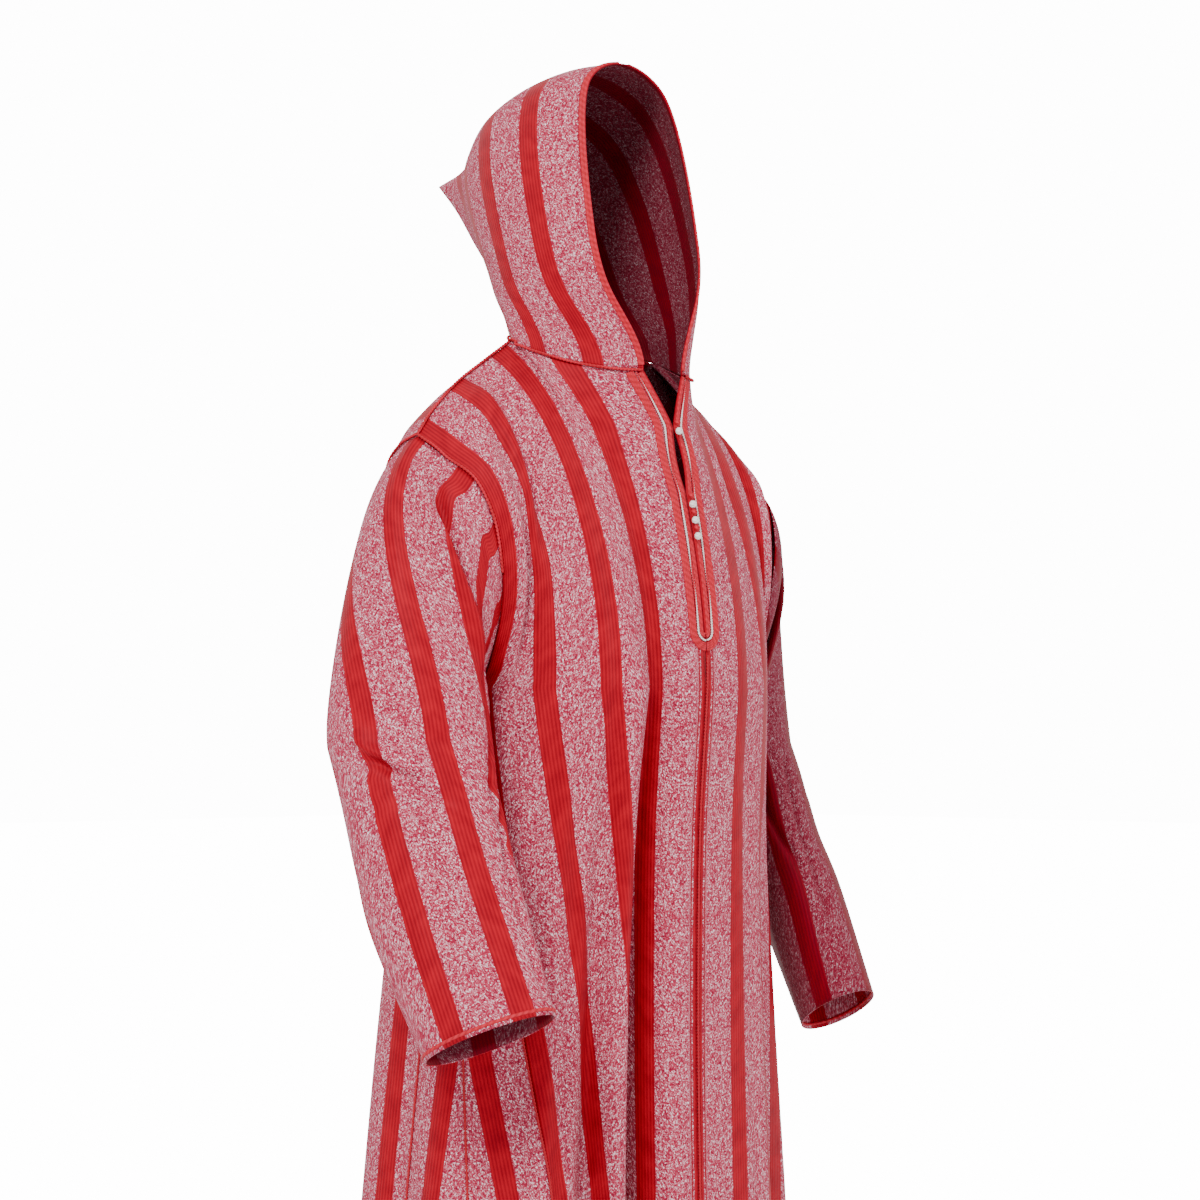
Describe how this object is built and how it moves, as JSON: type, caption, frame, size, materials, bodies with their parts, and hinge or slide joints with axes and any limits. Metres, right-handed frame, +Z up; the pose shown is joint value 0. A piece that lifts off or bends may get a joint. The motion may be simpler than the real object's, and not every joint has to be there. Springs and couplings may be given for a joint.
{
  "type": "hooded djellaba robe",
  "caption": "Ankle-length hooded robe with long sleeves, side gores, a pointed hood, braided neck placket and ball buttons, in a worn pose.",
  "frame": {"origin": "between the shoulders, on the wearer's middle line, at the height where the robe hangs from the shoulders", "axes": "+Z up, the wearer faces -Y and the wearer's left is +X"},
  "size_m": [0.6321, 0.4561, 1.6881],
  "materials": {
    "cloth": "marled crimson and white weave with red satin stripes",
    "red_trim": "twisted and braided satin cord",
    "white_cord": "twisted white and red silk cord"
  },
  "bodies": {
    "root": {"front_right": "cloth", "front_left": "cloth", "back": "cloth", "gore_front_right": "cloth", "gore_back_right": "cloth", "gore_front_left": "cloth", "gore_back_left": "cloth", "sleeve_right": "cloth", "sleeve_left": "cloth", "hood_right": "cloth", "hood_left": "cloth", "neck_cord_right": "red_trim", "shoulder_cord_right": "red_trim", "armhole_cord_right": "red_trim", "gore_cord_front_right": "red_trim", "gore_cord_side_right": "red_trim", "gore_cord_back_right": "red_trim", "cuff_binding_right": "red_trim", "hood_binding_right": "red_trim", "neck_cord_left": "red_trim", "shoulder_cord_left": "red_trim", "armhole_cord_left": "red_trim", "gore_cord_front_left": "red_trim", "gore_cord_side_left": "red_trim", "gore_cord_back_left": "red_trim", "cuff_binding_left": "red_trim", "hood_binding_left": "red_trim", "centre_front_cord": "red_trim", "placket_outer_tape_right": "red_trim", "placket_twist_right": "white_cord", "placket_inner_tape_right": "red_trim", "placket_outer_tape_left": "red_trim", "placket_twist_left": "white_cord", "placket_inner_tape_left": "red_trim", "ball_button_1": "white_cord", "ball_button_2": "white_cord", "ball_button_3": "white_cord", "ball_button_4": "white_cord", "knot_1": "red_trim", "knot_2": "red_trim", "knot_3": "red_trim", "knot_4": "red_trim"}
  },
  "joints": []
}
